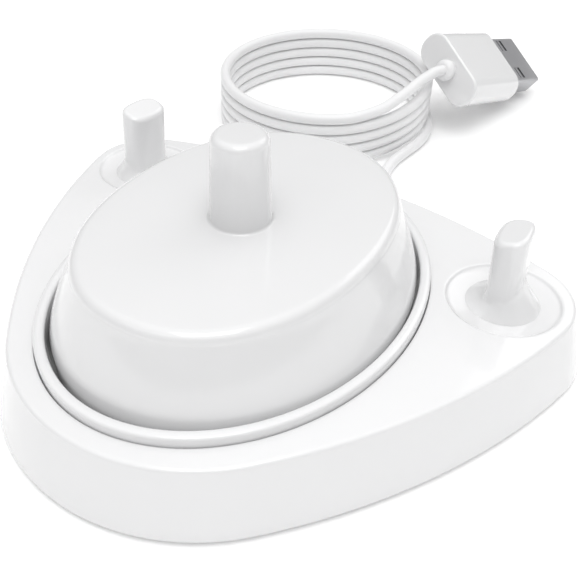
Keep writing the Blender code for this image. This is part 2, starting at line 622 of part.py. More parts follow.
# ---------------------------------------------------------------- cord and plug
def build_cord():
    tube("cord_lead", smooth_path(LEAD_ROUTE), CORD_DIAMETER, "white_cord")
    inner, outer = COIL_RADIUS - CORD_DIAMETER / 2, COIL_RADIUS + CORD_DIAMETER / 2
    top, edge = COIL_TURNS_HIGH * CORD_PITCH, COIL_EDGE
    ring = [(inner + edge, top), (outer - edge, top), (outer, top - edge), (outer, edge),
            (outer - edge, 0.02 * MM), (inner + edge, 0.02 * MM), (inner, edge), (inner, top - edge)]
    turned("cord_coil", ring, (*COIL_CENTRE, 0), "white_cord", steps=40, closed=True)
    tube("cord_tail", smooth_path(TAIL_ROUTE), CORD_DIAMETER, "white_cord")


def plug_frame():
    """Matrix of the plug: X across its width, Y through its thickness, Z out to the tip."""
    wide = (PLUG_WIDE - PLUG_AXIS * PLUG_WIDE.dot(PLUG_AXIS)).normalized()
    thick = PLUG_AXIS.cross(wide)
    frame = Matrix((wide, thick, PLUG_AXIS)).transposed().to_4x4()
    return Matrix.Translation(PLUG_JOINT) @ frame


def rounded_rect(width, height, radius, z, per_corner=5):
    ring = []
    for cx, cy, start in ((1, 1, 0), (-1, 1, 90), (-1, -1, 180), (1, -1, 270)):
        for k in range(per_corner):
            a = math.radians(start + 90 * k / (per_corner - 1))
            ring.append(Vector((cx * (width / 2 - radius) + radius * math.cos(a),
                                cy * (height / 2 - radius) + radius * math.sin(a), z)))
    return ring


def build_plug():
    place = plug_frame()
    width, height, length = PLUG_BODY
    stations = [(-length, 0.8), (-length + 0.25 * MM, 0.25), (-length + 0.9 * MM, 0.0),
                (-0.6 * MM, 0.0), (-0.15 * MM, 0.2), (0, 0.6)]
    rings = [rounded_rect(width - 2 * t * MM, height - 2 * t * MM, PLUG_CORNER - t * MM, z)
             for z, t in stations]
    body = skin("plug_overmould", rings, "white_gloss")
    socket = skin("plug_socket", [rounded_rect(SHELL_SIZE[0] + 2 * GAP, SHELL_SIZE[1] + 2 * GAP,
                                               0.6 * MM, z, 3) for z in (-5.3 * MM, MM)],
                  group=CUTTERS)
    boolean(body, socket)
    profile = [(0, 1.9), (0.9, 2.1), (1.6, 1.75), (2.0, 1.25)]  # distance back, radius
    rings = [oval((radius * MM, radius * MM), 0, -length - GAP - back * MM, 14)
             for back, radius in profile]
    nub = skin("plug_relief", rings, "white_cord")

    outer = [rounded_rect(SHELL_SIZE[0], SHELL_SIZE[1], 0.5 * MM, z, 3)
             for z in (-5 * MM, SHELL_SIZE[2])]
    inner = [rounded_rect(SHELL_SIZE[0] - 2 * SHELL_SHEET, SHELL_SIZE[1] - 2 * SHELL_SHEET,
                          0.3 * MM, z, 3) for z in (SHELL_SIZE[2], -4.6 * MM)]
    shell = skin("plug_shell", outer + inner, "steel")
    for x in (-3.0, 3.0):
        for y in (-1, 1):
            window = box(f"shell_window_{x}_{y}", (x * MM, y * SHELL_SIZE[1] / 2, 6.9 * MM),
                         (2.5 * MM, 1.2 * MM, 2.2 * MM), group=CUTTERS)
            window.matrix_world = place
            boolean(shell, window)
    half_inside = SHELL_SIZE[1] / 2 - SHELL_SHEET
    tongue = box("plug_tongue", (0, GAP + 0.95 * MM - half_inside, 3.4 * MM),
                 (10.6 * MM, 1.9 * MM, 15.6 * MM), "bobbin_plastic")
    contacts = []
    for k, x in enumerate((-3.5, -1.0, 1.0, 3.5)):
        y = GAP + 1.9 * MM + GAP + 0.15 * MM - half_inside
        contacts.append(box(f"plug_contact_{k + 1}", (x * MM, y, 6.2 * MM),
                            (1.0 * MM, 0.3 * MM, 7.4 * MM), "contact_gold"))
    for piece in [body, socket, nub, shell, tongue] + contacts:
        piece.matrix_world = place


def main():
    build_tray_shell()
    build_collar()
    for k, (x, y) in enumerate(collar_screw_places()):
        screw(f"collar_screw_{k + 1}", x, y, EAR_Z[0] - GAP, 1, 1.6 * MM, 0.8 * MM,
              3.9 * MM, 1.1 * MM)
    build_pegs()
    build_tray_feet()
    build_cover()
    build_base_plate()
    build_gasket()
    for k, (x, y) in enumerate(BOSS_PLACES):
        screw(f"cover_screw_{k + 1}", x, y, 2.4 * MM - GAP, 1, 2.1 * MM, 1.0 * MM, 7.5 * MM, 0.7 * MM)
    build_charger_feet()
    build_transmitter()
    build_board()
    build_cord_entry()
    build_cord()
    build_plug()


main()
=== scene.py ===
"""Looks of the toothbrush charger set: tray, charger, coiled cable and plug on a pale floor.

Sizes are in millimetres in the tables below and become metres where a mesh is made.
The frame is the CAD model's: +X right, -Y front, +Z up, origin on the table.
"""
import json
import math

import bmesh
import bpy
from mathutils import Matrix, Vector
from mathutils.geometry import delaunay_2d_cdt


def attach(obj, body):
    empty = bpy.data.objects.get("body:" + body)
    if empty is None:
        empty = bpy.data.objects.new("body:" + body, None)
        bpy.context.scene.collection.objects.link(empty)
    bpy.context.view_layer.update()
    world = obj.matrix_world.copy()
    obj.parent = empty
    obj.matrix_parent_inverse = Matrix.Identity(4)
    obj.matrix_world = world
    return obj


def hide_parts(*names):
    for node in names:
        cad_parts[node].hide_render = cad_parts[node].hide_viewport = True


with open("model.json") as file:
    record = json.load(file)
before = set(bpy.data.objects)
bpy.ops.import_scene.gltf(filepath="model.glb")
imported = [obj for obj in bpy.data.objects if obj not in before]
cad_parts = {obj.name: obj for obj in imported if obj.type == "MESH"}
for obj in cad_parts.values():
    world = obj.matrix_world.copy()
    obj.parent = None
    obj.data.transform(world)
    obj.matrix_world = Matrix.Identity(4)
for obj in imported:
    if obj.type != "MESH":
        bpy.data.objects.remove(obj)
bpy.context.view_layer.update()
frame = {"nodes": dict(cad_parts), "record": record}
MM = 0.001


# ---------------------------------------------------------------- camera
def add_camera():
    data = bpy.data.cameras.new("photo_camera")
    data.lens, data.sensor_width = 50.54, 36.0
    data.shift_x, data.shift_y = 0.0489, 0.0326
    data.clip_start, data.clip_end = 0.01, 10.0
    camera = bpy.data.objects.new("photo_camera", data)
    right = Vector((0.83548, 0.54945, 0.00905))
    forward = Vector((-0.4155, 0.6424, -0.64396)).normalized()
    right = (right - forward * right.dot(forward)).normalized()
    up = right.cross(forward)
    turn = Matrix((right, up, -forward)).transposed().to_4x4()
    camera.matrix_world = Matrix.Translation(Vector((52.631, -75.095, 83.027)) * MM) @ turn
    bpy.context.scene.collection.objects.link(camera)
    bpy.context.scene.camera = camera


add_camera()


# ---------------------------------------------------------------- materials
def new_material(name, colour, roughness, metallic=0.0):
    material = bpy.data.materials.new(name)
    material.use_nodes = True
    shader = material.node_tree.nodes["Principled BSDF"]
    shader.inputs["Base Color"].default_value = (*colour, 1)
    shader.inputs["Roughness"].default_value = roughness
    shader.inputs["Metallic"].default_value = metallic
    return material


def node(material, kind, **inputs):
    made = material.node_tree.nodes.new(kind)
    for key, value in inputs.items():
        made.inputs[key].default_value = value
    return made


def link(material, out_node, out_name, in_node, in_name):
    material.node_tree.links.new(out_node.outputs[out_name], in_node.inputs[in_name])


def ramp(material, stops):
    made = material.node_tree.nodes.new("ShaderNodeValToRGB")
    elements = made.color_ramp.elements
    while len(elements) < len(stops):
        elements.new(0.5)
    for element, (place, colour) in zip(elements, stops):
        element.position, element.color = place, (*colour, 1)
    return made


def grained(name, colour, roughness, metallic=0.0, grain=1.0, depth=0.02, mottle=0.02,
            rough_spread=0.04, stretch=(1, 1, 1), coat=0.0):
    """Moulded or metal surface: fine grain in its relief, with faint colour and gloss variation.

    grain is the relief's feature size in millimetres, stretch squeezes it along an axis.
    """
    material = new_material(name, colour, roughness, metallic)
    shader = material.node_tree.nodes["Principled BSDF"]
    shader.inputs["Coat Weight"].default_value = coat
    shader.inputs["Coat Roughness"].default_value = 0.06
    where = node(material, "ShaderNodeTexCoord")
    squeeze = node(material, "ShaderNodeMapping", Scale=stretch)
    link(material, where, "Object", squeeze, "Vector")
    fine = node(material, "ShaderNodeTexNoise", Scale=1000 / grain, Detail=3.0)
    broad = node(material, "ShaderNodeTexNoise", Scale=70.0, Detail=2.0)
    for noise in (fine, broad):
        link(material, squeeze, "Vector", noise, "Vector")
    tint = ramp(material, [(0.3, [c * (1 - mottle) for c in colour]),
                           (0.7, [min(1, c * (1 + mottle)) for c in colour])])
    link(material, broad, "Fac", tint, "Fac")
    link(material, tint, "Color", shader, "Base Color")
    low, high = max(0.03, roughness - rough_spread), roughness + rough_spread
    gloss = node(material, "ShaderNodeMapRange")
    gloss.inputs["To Min"].default_value, gloss.inputs["To Max"].default_value = low, high
    link(material, broad, "Fac", gloss, "Value")
    link(material, gloss, "Result", shader, "Roughness")
    relief = node(material, "ShaderNodeBump", Strength=0.5, Distance=depth * MM)
    link(material, fine, "Fac", relief, "Height")
    link(material, relief, "Normal", shader, "Normal")
    return material


def wound_copper():
    """Enamelled wire laid in close turns one above another."""
    material = grained("wound_copper", (0.72, 0.34, 0.16), 0.32, 1.0, grain=0.4)
    tree = material.node_tree
    turns = node(material, "ShaderNodeTexWave", Scale=320.0, Distortion=0.0)
    turns.wave_type, turns.bands_direction = "BANDS", "Z"
    where = next(n for n in tree.nodes if n.type == "TEX_COORD")
    relief = next(n for n in tree.nodes if n.type == "BUMP")
    link(material, where, "Object", turns, "Vector")
    link(material, turns, "Fac", relief, "Height")
    relief.inputs["Distance"].default_value = 0.1 * MM
    return material


def board_mask():
    """Green solder mask with faint raised tracks under it."""
    material = grained("solder_mask", (0.035, 0.20, 0.09), 0.35, grain=0.5, coat=0.3)
    tree = material.node_tree
    tracks = node(material, "ShaderNodeTexBrick", Scale=260.0)
    tracks.inputs["Mortar Size"].default_value = 0.012
    tracks.inputs["Color1"].default_value = (0.03, 0.17, 0.075, 1)
    tracks.inputs["Color2"].default_value = (0.04, 0.21, 0.095, 1)
    tracks.inputs["Mortar"].default_value = (0.06, 0.30, 0.13, 1)
    where = next(n for n in tree.nodes if n.type == "TEX_COORD")
    shader = tree.nodes["Principled BSDF"]
    link(material, where, "Object", tracks, "Vector")
    link(material, tracks, "Color", shader, "Base Color")
    return material


WHITE = (0.80, 0.80, 0.805)
LOOKS = {
    "white_gloss": grained("white_gloss", WHITE, 0.16, grain=1.6, depth=0.003, mottle=0.006,
                           rough_spread=0.03, coat=0.8),
    # The charger's white is the tray's white painted a little darker all over, as painted shade for the
    # dimmer sides of its dome.
    "charger_white_painted_shade": grained("charger_white_painted_shade", (0.77, 0.77, 0.775), 0.16, grain=1.6, depth=0.003,
                             mottle=0.006, rough_spread=0.03, coat=0.8),
    "white_cord": grained("white_cord", (0.82, 0.82, 0.825), 0.30, grain=0.7, depth=0.006,
                          mottle=0.012),
    "grey_rubber": grained("grey_rubber", (0.42, 0.42, 0.43), 0.75, grain=0.35, depth=0.05,
                           mottle=0.08),
    "steel": grained("steel", (0.48, 0.48, 0.495), 0.40, 1.0, grain=0.25, depth=0.008,
                     mottle=0.05, stretch=(1, 0.12, 1)),
    "ferrite": grained("ferrite", (0.08, 0.08, 0.09), 0.65, grain=0.3, depth=0.04, mottle=0.2),
    "copper": wound_copper(),
    "bobbin_plastic": grained("bobbin_plastic", (0.12, 0.12, 0.13), 0.5, grain=0.4, depth=0.03),
    "board_green": board_mask(),
    "component_black": grained("component_black", (0.03, 0.03, 0.035), 0.5, grain=0.25,
                               depth=0.03, mottle=0.15),
    "film_yellow": grained("film_yellow", (0.75, 0.55, 0.08), 0.35, grain=0.8, depth=0.03,
                           mottle=0.06),
    "wire_red": grained("wire_red", (0.60, 0.03, 0.03), 0.4, grain=0.5),
    "wire_black": grained("wire_black", (0.03, 0.03, 0.03), 0.4, grain=0.5),
    "contact_gold": grained("contact_gold", (0.85, 0.65, 0.28), 0.22, 1.0, grain=0.3,
                            depth=0.004, mottle=0.04),
}
SLOT_OF = {part["node"]: part["material_slot"] for part in frame["record"]["subparts"]}
for cad_name, cad_object in frame["nodes"].items():
    cad_object.data.materials.clear()
    cad_object.data.materials.append(LOOKS[SLOT_OF[cad_name]])


# ---------------------------------------------------------------- mesh helpers
def from_bmesh(name, bm, look):
    """Object from a bmesh in millimetres."""
    bmesh.ops.recalc_face_normals(bm, faces=bm.faces)
    bmesh.ops.scale(bm, vec=(MM, MM, MM), verts=bm.verts)
    mesh = bpy.data.meshes.new(name)
    bm.to_mesh(mesh)
    bm.free()
    mesh.materials.append(LOOKS[look])
    obj = bpy.data.objects.new(name, mesh)
    bpy.context.scene.collection.objects.link(obj)
    soften(obj)
    return obj


def soften(obj, sharp=40):
    """Shade smooth but for edges that turn by more degrees than this."""
    obj.data.shade_smooth()
    obj.data.set_sharp_from_angle(angle=math.radians(sharp))


def add_rings(bm, rings, wrap=False, cap_start=False, cap_end=False):
    """Loft through rings of equal length and return their vertices."""
    loops = [[bm.verts.new(p) for p in ring] for ring in rings]
    for low, high in zip(loops, loops[1:] + loops[:1] if wrap else loops[1:]):
        for i in range(len(low)):
            j = (i + 1) % len(low)
            bm.faces.new((low[i], low[j], high[j], high[i]))
    for wanted, loop in ((cap_start, loops[0]), (cap_end, loops[-1])):
        if wanted:
            bm.faces.new(loop)
    return loops


def loft(name, rings, look, **options):
    bm = bmesh.new()
    add_rings(bm, rings, **options)
    return from_bmesh(name, bm, look)


def arc(centre, radius, start, end, count):
    """Points of a flat arc, angles in degrees."""
    angles = [math.radians(start + (end - start) * k / count) for k in range(count + 1)]
    return [(centre[0] + radius * math.cos(a), centre[1] + radius * math.sin(a)) for a in angles]


def cylinder(start, end, radius):
    """Cutter or joined post between two points."""
    axis = Vector(end) - Vector(start)
    place = Matrix.Translation((Vector(start) + Vector(end)) / 2)
    bm = bmesh.new()
    bmesh.ops.create_cone(bm, cap_ends=True, segments=48, radius1=radius, radius2=radius,
                          depth=axis.length,
                          matrix=place @ axis.to_track_quat("Z", "Y").to_matrix().to_4x4())
    return from_bmesh("cutter", bm, "white_gloss")


def block(centre, size):
    """Cutter or joined block."""
    bm = bmesh.new()
    bmesh.ops.create_cube(bm, size=1, matrix=Matrix.Translation(centre) @ Matrix.Diagonal((*size, 1)))
    return from_bmesh("cutter", bm, "white_gloss")


def carve(obj, tools, sharp=40):
    """Cut or join tools, given as (operation, object) pairs, and keep only the result."""
    for operation, tool in tools:
        modifier = obj.modifiers.new("carve", "BOOLEAN")
        modifier.operation, modifier.object, modifier.solver = operation, tool, "EXACT"
    graph = bpy.context.evaluated_depsgraph_get()
    mesh = bpy.data.meshes.new_from_object(obj.evaluated_get(graph))
    obj.modifiers.clear()
    obj.data = mesh
    for _, tool in tools:
        bpy.data.objects.remove(tool, do_unlink=True)
    soften(obj, sharp)
    return obj


def flatten_shading(obj):
    """Let the large flat faces set the normals beside them, so that they shine evenly."""
    modifier = obj.modifiers.new("even_normals", "WEIGHTED_NORMAL")
    modifier.keep_sharp = True
    modifier.weight = 60


def place_piece(obj, body, slot, *nodes):
    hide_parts(*nodes)
    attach(obj, body)


# ---------------------------------------------------------------- cable
CORD_DIAMETER = 2.15
CORD_PITCH = 2.17
COIL_CENTRE = Vector((-26.8, 71.2))
COIL_HALF = (21.35, 21.65)
COIL_START, COIL_END = 54, 4 * 360 + 315  # degrees wound
CLIMB = (295, 395)  # where each turn climbs onto the next
LEAD_ROUTE = [(0, 38.6, 4.6), (0, 40.8, 4.6), (0, 43, 4.35), (-0.4, 46, 3.1), (-1.5, 49.5, 1.8),
              (-2.9, 53, 1.2), (-3.9, 56.5, 1.09), (-4.25, 60, 1.09), (-4.05, 63.5, 1.09),
              (-3.65, 67, 1.09), (-3.5, 70.5, 1.09), (-4.0, 74.8, 1.09), (-5.6, 79.0, 1.09),
              (-8.0, 82.8, 1.09), (-11.2, 86.1, 1.08)]
TAIL_ROUTE = [(-8.57, 60.32, 10.65), (-7.55, 62.6, 11.25), (-6.67, 64.9, 12.0), (-6.05, 68.0, 12.6),
              (-5.6, 71.4, 13.1), (-5.0, 74.4, 13.42), (-4.5, 76.7, 13.52), (-3.97, 78.2, 13.36),
              (-3.8, 78.95, 13.17)]


def coil_point(turned):
    """Centre of the cable after winding this many degrees."""
    turns, angle = divmod(turned, 360)
    height = CORD_DIAMETER / 2 + CORD_PITCH * (turns + climbed(angle) + climbed(angle + 360) - 1)
    a = math.radians(angle)
    return Vector((COIL_CENTRE.x + COIL_HALF[0] * math.cos(a),
                   COIL_CENTRE.y + COIL_HALF[1] * math.sin(a), height))


def climbed(angle):
    """Share of CORD_PITCH climbed by this angle of a turn."""
    share = min(1, max(0, (angle - CLIMB[0]) / (CLIMB[1] - CLIMB[0])))
    return share * share * (3 - 2 * share)


def smooth_path(points, step=1.2):
    """Catmull-Rom curve through points, with a point about every step."""
    knots = [Vector(p) for p in points]
    knots = [2 * knots[0] - knots[1]] + knots + [2 * knots[-1] - knots[-2]]
    path = []
    for p0, p1, p2, p3 in zip(knots, knots[1:], knots[2:], knots[3:]):
        count = max(1, round((p2 - p1).length / step))
        for k in range(count):
            t = k / count
            path.append(0.5 * (2 * p1 + (p2 - p0) * t + (2 * p0 - 5 * p1 + 4 * p2 - p3) * t * t
                               + (3 * p1 - p0 - 3 * p2 + p3) * t ** 3))
    return path + [knots[-2]]


def build_cord():
    wound = [coil_point(turned) for turned in range(COIL_START, COIL_END + 1, 9)]
    path = smooth_path(LEAD_ROUTE + wound + TAIL_ROUTE)
    curve = bpy.data.curves.new("usb_cable", "CURVE")
    curve.dimensions = "3D"
    curve.bevel_depth = CORD_DIAMETER / 2 * MM
    curve.bevel_resolution = 5
    curve.use_fill_caps = True
    spline = curve.splines.new("POLY")
    spline.points.add(len(path) - 1)
    for point, place in zip(spline.points, path):
        point.co = (*(place * MM), 1)
    curve.materials.append(LOOKS["white_cord"])
    obj = bpy.data.objects.new("usb_cable", curve)
    bpy.context.scene.collection.objects.link(obj)
    place_piece(obj, "charger", "white_cord", "cord_lead", "cord_coil", "cord_tail")
    length = sum((b - a).length for a, b in zip(path, path[1:]))
    return obj, Vector(LEAD_ROUTE[0]), length


# ---------------------------------------------------------------- plug
PLUG_JOINT = Vector((0.14, 97.84, 8.13))  # middle of the face that the metal shell leaves
PLUG_AXIS = Vector((0.198, 0.947, -0.253)).normalized()
PLUG_WIDE = Vector((0.792, -0.307, -0.528))
PLUG_BODY = (16.5, 7.2, 18.6)
PLUG_CORNER = 3.3
SHELL = (12.0, 4.5, 12.0)
SHELL_SHEET = 0.35
TAB_X, TAB_Z, TAB_SIZE = 3.75, 5.1, (2.8, 2.1)  # pressed-in tabs: places, size across and along
TAB_DEPTH, TAB_SLOT = 0.12, 0.6  # how far they are pressed in, width of the slot at each end


def plug_frame():
    """X across the plug, Y through it, Z out to the tip, in millimetres."""
    wide = (PLUG_WIDE - PLUG_AXIS * PLUG_WIDE.dot(PLUG_AXIS)).normalized()
    turn = Matrix((wide, PLUG_AXIS.cross(wide), PLUG_AXIS)).transposed().to_4x4()
    return Matrix.Translation(PLUG_JOINT) @ turn


def rounded_rect(width, height, radius, z, per_corner):
    ring = []
    for cx, cy, start in ((1, 1, 0), (-1, 1, 90), (-1, -1, 180), (1, -1, 270)):
        for k in range(per_corner):
            a = math.radians(start + 90 * k / (per_corner - 1))
            ring.append(Vector((cx * (width / 2 - radius) + radius * math.cos(a),
                                cy * (height / 2 - radius) + radius * math.sin(a), z)))
    return ring


def circle(radius, z, sides=64, centre=(0, 0)):
    angles = [2 * math.pi * k / sides for k in range(sides)]
    return [Vector((centre[0] + radius * math.cos(a), centre[1] + radius * math.sin(a), z))
            for a in angles]


def in_place(rings, matrix):
    return [[matrix @ p for p in ring] for ring in rings]


def build_plug():
    """White body, the nub the cable enters, and the metal shell with its tabs and seam."""
    place = plug_frame()
    width, height, length = PLUG_BODY
    rear, nose = 0.45, 0.5  # edge roundings
    profile = [(rear - x, -length + rear - y) for x, y in arc((0, 0), rear, 90, 0, 8)]
    profile += [(nose - x, -nose + y) for x, y in arc((0, 0), nose, 0, 90, 8)]
    rings = [rounded_rect(width - 2 * inset, height - 2 * inset, PLUG_CORNER - inset, z, 14)
             for inset, z in profile]
    mouth = [rounded_rect(SHELL[0] + 0.3, SHELL[1] + 0.3, 0.65, z, 14) for z in (0, -4.6)]
    body = loft("plug_body", in_place(rings + mouth, place), "white_gloss", cap_start=True,
                cap_end=True)
    flatten_shading(body)
    place_piece(body, "charger", "white_gloss", "plug_overmould")

    back = -length
    nub = [(1.95, back + 0.3), (2.02, back - 0.3), (2.12, back - 0.8), (2.12, back - 1.15),
           (2.0, back - 1.5), (1.75, back - 1.8), (1.45, back - 1.98), (1.15, back - 2.05)]
    nub = loft("plug_nub", in_place([circle(r, z) for r, z in nub], place), "white_cord",
               cap_start=True, cap_end=True)
    place_piece(nub, "charger", "white_cord", "plug_relief")

    sheet, tip = SHELL_SHEET, SHELL[2]
    outside = [(0, -4.4), (0, tip - 0.15), (0.05, tip - 0.04), (0.14, tip)]
    inside = [(sheet - 0.1, tip), (sheet, tip - 0.08), (sheet, -4.2)]
    rings = [rounded_rect(SHELL[0] - 2 * i, SHELL[1] - 2 * i, 0.55 - 0.5 * i, z, 7)
             for i, z in outside + inside]
    shell = loft("plug_sleeve", rings, "steel", cap_start=True, cap_end=True)
    cuts = [("DIFFERENCE", block((0.6, SHELL[1] / 2, 4), (0.06, 0.2, 20)))]  # seam
    across, along = TAB_SIZE
    for x, y in ((x, y * SHELL[1] / 2) for x in (-TAB_X, TAB_X) for y in (-1, 1)):
        cuts.append(("DIFFERENCE", block((x, y, TAB_Z), (across, 2 * TAB_DEPTH, along))))
        cuts += [("DIFFERENCE", block((x, y, TAB_Z + end * (along - TAB_SLOT) / 2),
                                      (across, 1.2, TAB_SLOT))) for end in (-1, 1)]
    carve(shell, cuts)
    shell.data.transform(Matrix.Diagonal((MM, MM, MM, 1)) @ place
                         @ Matrix.Diagonal((1 / MM, 1 / MM, 1 / MM, 1)))
    place_piece(shell, "charger", "steel", "plug_shell")
    return [body, nub, shell]


cable, cable_start, cable_length = build_cord()
plug_pieces = build_plug()


# ---------------------------------------------------------------- charger
WELL_Y = 0.4
DOME_Y, DOME_TOP = 0.9, 22.0
DOME_TOP_HALF, DOME_BASE_HALF = (19.4, 26.0), (23.45, 29.5)
DOME_SQUARENESS = (2.04, 2.15)  # exponent of the oval at the foot and at the top
DOME_EDGE, DOME_WALL, DOME_FOOT, DOME_SHOULDER = 1.5, 1.8, 1.2, 11.6
PIN_Y, PIN_TOP = 0.4, 34.4
PIN_BASE_RADIUS, PIN_TOP_RADIUS, PIN_EDGE, PIN_WALL = 4.25, 3.85, 1.1, 1.2
GLAND_Z = 4.6  # height of the cable's exit
ROUND_STEPS = 192


def oval(half, centre_y, z, power=2.0):
    """Ring round the Z axis, squarer than an ellipse where power is over 2."""
    ring = []
    for i in range(ROUND_STEPS):
        a = 2 * math.pi * i / ROUND_STEPS
        c, s = math.cos(a), math.sin(a)
        reach = (abs(c / half[0]) ** power + abs(s / half[1]) ** power) ** (-1 / power)
        ring.append(Vector((reach * c, centre_y + reach * s, z)))
    return ring


def shrink(half, amount):
    return (half[0] - amount, half[1] - amount)


def mix(a, b, t):
    return a + (b - a) * t


def dome_ring(t, inset, z):
    """Ring of the dome's wall at share t of the way from its shoulder to its top."""
    half = [mix(a, b, t) - inset for a, b in zip(DOME_BASE_HALF, DOME_TOP_HALF)]
    return oval(half, mix(WELL_Y, DOME_Y, t), z, mix(*DOME_SQUARENESS, t))


def build_charger():
    """Cover with its pin as one moulding, and the ribbed gland that holds the cable."""
    outside = []
    rise = DOME_TOP - DOME_EDGE - DOME_SHOULDER
    for share in (0, 0.35, 0.7, 0.85, 0.95):
        outside.append(dome_ring(0, 0, mix(DOME_FOOT, DOME_SHOULDER, share)))
    for k in range(1, 11):
        t = k / 10
        bulge = 0.12 * math.sin(math.pi * t)
        outside.append(dome_ring(t, -bulge, DOME_SHOULDER + rise * t))
    for x, z in arc((0, 0), DOME_EDGE, 0, 90, 8)[1:]:
        outside.append(dome_ring(1, DOME_EDGE - x, DOME_TOP - DOME_EDGE + z))
    outside.append(dome_ring(1, DOME_EDGE + 0.8, DOME_TOP))
    fillet = 0.45
    pin = [(PIN_BASE_RADIUS + fillet + 0.5, DOME_TOP)]
    pin += [(PIN_BASE_RADIUS + fillet + x, DOME_TOP + fillet + z)
            for x, z in arc((0, 0), fillet, 270, 180, 6)]
    pin += [(mix(PIN_BASE_RADIUS, PIN_TOP_RADIUS, t),
             mix(DOME_TOP + fillet, PIN_TOP - PIN_EDGE, t)) for t in (0.05, 0.35, 0.7, 1)]
    pin += [(PIN_TOP_RADIUS - PIN_EDGE + x, PIN_TOP - PIN_EDGE + z)
            for x, z in arc((0, 0), PIN_EDGE, 0, 90, 8)[1:]]
    pin += [(PIN_TOP_RADIUS - PIN_EDGE - 0.4, PIN_TOP)]
    outside += [oval((r, r), PIN_Y, z) for r, z in pin]
    top = DOME_TOP - DOME_WALL
    inside = [dome_ring(0, DOME_WALL, DOME_FOOT), dome_ring(0, DOME_WALL, DOME_SHOULDER),
              dome_ring(1, DOME_WALL, top)]
    inner = PIN_TOP_RADIUS - PIN_WALL
    inside += [oval((r, r), PIN_Y, z) for r, z in ((inner + 0.4, top), (inner, PIN_TOP - PIN_WALL))]
    # The cover takes the darker white: painted shade for the sides of the dome.
    cover = loft("charger_body", list(reversed(inside)) + outside, "charger_white_painted_shade", cap_start=True,
                 cap_end=True)
    hole = cylinder((0, 24, GLAND_Z), (0, 34, GLAND_Z), 2.3)
    carve(cover, [("DIFFERENCE", hole)])
    flatten_shading(cover)
    place_piece(cover, "charger", "white_gloss", "charger_cover")

    gland = [(26.2, 1.5), (26.2, 2.9), (27.0, 2.9), (27.0, 2.0), (29.9, 2.0), (30.0, 2.3),
             (31.0, 2.3), (31.35, 2.12), (34.0, 1.85), (37.0, 1.6), (40.0, 1.4), (40.35, 1.32),
             (40.5, 1.15)]
    rings = in_place([circle(r, y) for y, r in gland], along_gland())
    relief = loft("cable_gland", rings, "white_cord", cap_start=True, cap_end=True)
    ribs = [("DIFFERENCE", cable_slot(y)) for y in (33.2, 34.7, 36.2, 37.7)]
    carve(relief, ribs, 30)
    place_piece(relief, "charger", "white_cord", "cord_gland")
    return relief


def along_gland():
    """Turns a shape along Z to lie on the gland's axis, which points to the rear."""
    return Matrix.Translation((0, 0, GLAND_Z)) @ Matrix.Rotation(-math.pi / 2, 4, "X")


def cable_slot(y):
    """Ring-shaped groove round the gland."""
    bm = bmesh.new()
    rings = [circle(r, z) for r, z in ((3.0, y - 0.25), (3.0, y + 0.25), (1.4, y + 0.25),
                                       (1.4, y - 0.25))]
    add_rings(bm, in_place(rings, along_gland()), wrap=True)
    return from_bmesh("cutter", bm, "white_cord")


gland = build_charger()

# ---------------------------------------------------------------- tray
TRAY_HEIGHT, TRAY_DRAFT, TRAY_WALL, TRAY_EDGE, TRAY_LIFT = 10.5, 2.5, 1.8, 0.7, 0.5
FRONT_ARC = (Vector((0.0, -8.5)), 26.3)
CORNER_ARC = (Vector((32.0, 18.9)), 10.1)
SIDE_RADIUS, BACK_RADIUS = 94.5, 102.3
RIM_OUTER, RIM_WIDTH, RIM_HEIGHT, COLLAR_FOOT = (25.35, 32.1), 1.55, 1.5, 1.2
RIM_GAP = 0.12
PEG_X, PEG_Y, PEG_TOP = 32.3, 18.4, 21.9
DISH_DEPTH, SOCKET_RADIUS = 0.7, 2.3
SCREW_POST_RADIUS, EAR_RADIUS, SCREW_HOLE_RADIUS = 1.9, 2.9, 1.15
FOOT_POST_X, FOOT_POST_Y, FOOT_POST_RADIUS = 35, 24, 2.6
FRONT_PAD = ((0, -33.6, 5.4), (10, 1.9, 7.6))  # centre and size of the block over the front foot
DISH_PROFILE = [(8.4, 0.0), (8.22, 0.01), (8.1, 0.05), (8.0, 0.13), (7.9, 0.24), (7.78, 0.34),
                (7.6, 0.41), (7.3, 0.46), (6.8, 0.52), (6.2, 0.59), (5.6, 0.66), (5.2, 0.69),
                (4.6, 0.7), (2.6, 0.7), (2.3, 0.7)]  # radius, depth


def tray_arcs():
    """Right half of the outline from front to rear: centre, radius, from and to angle."""
    (front, front_r), (corner, corner_r) = FRONT_ARC, CORNER_ARC
    to_front, to_corner = SIDE_RADIUS - front_r, SIDE_RADIUS - corner_r
    span = corner - front
    along = (to_front ** 2 - to_corner ** 2 + span.length ** 2) / (2 * span.length)
    away = math.sqrt(to_front ** 2 - along ** 2)
    direction = span.normalized()
    side = front + along * direction + away * Vector((-direction.y, direction.x))
    back = Vector((0, corner.y - math.sqrt((BACK_RADIUS - corner_r) ** 2 - corner.x ** 2)))
    turns = [math.atan2((b - a).y, (b - a).x) for a, b in
             ((side, front), (side, corner), (back, corner))]
    return [(front, front_r, -math.pi / 2, turns[0]), (side, SIDE_RADIUS, turns[0], turns[1]),
            (corner, corner_r, turns[1], turns[2]), (back, BACK_RADIUS, turns[2], math.pi / 2)]


def tray_outline():
    """Points and outward directions once round the tray, about a millimetre apart."""
    half = []
    for centre, radius, low, high in tray_arcs():
        count = max(8, round(radius * (high - low) / 1.1))
        for k in range(count):
            a = low + (high - low) * k / count
            way = Vector((math.cos(a), math.sin(a)))
            half.append((centre + radius * way, way))
    half.append((Vector((0, tray_arcs()[-1][0].y + BACK_RADIUS)), Vector((0, 1))))
    mirrored = [(Vector((-p.x, p.y)), Vector((-w.x, w.y))) for p, w in reversed(half[1:-1])]
    return half + mirrored


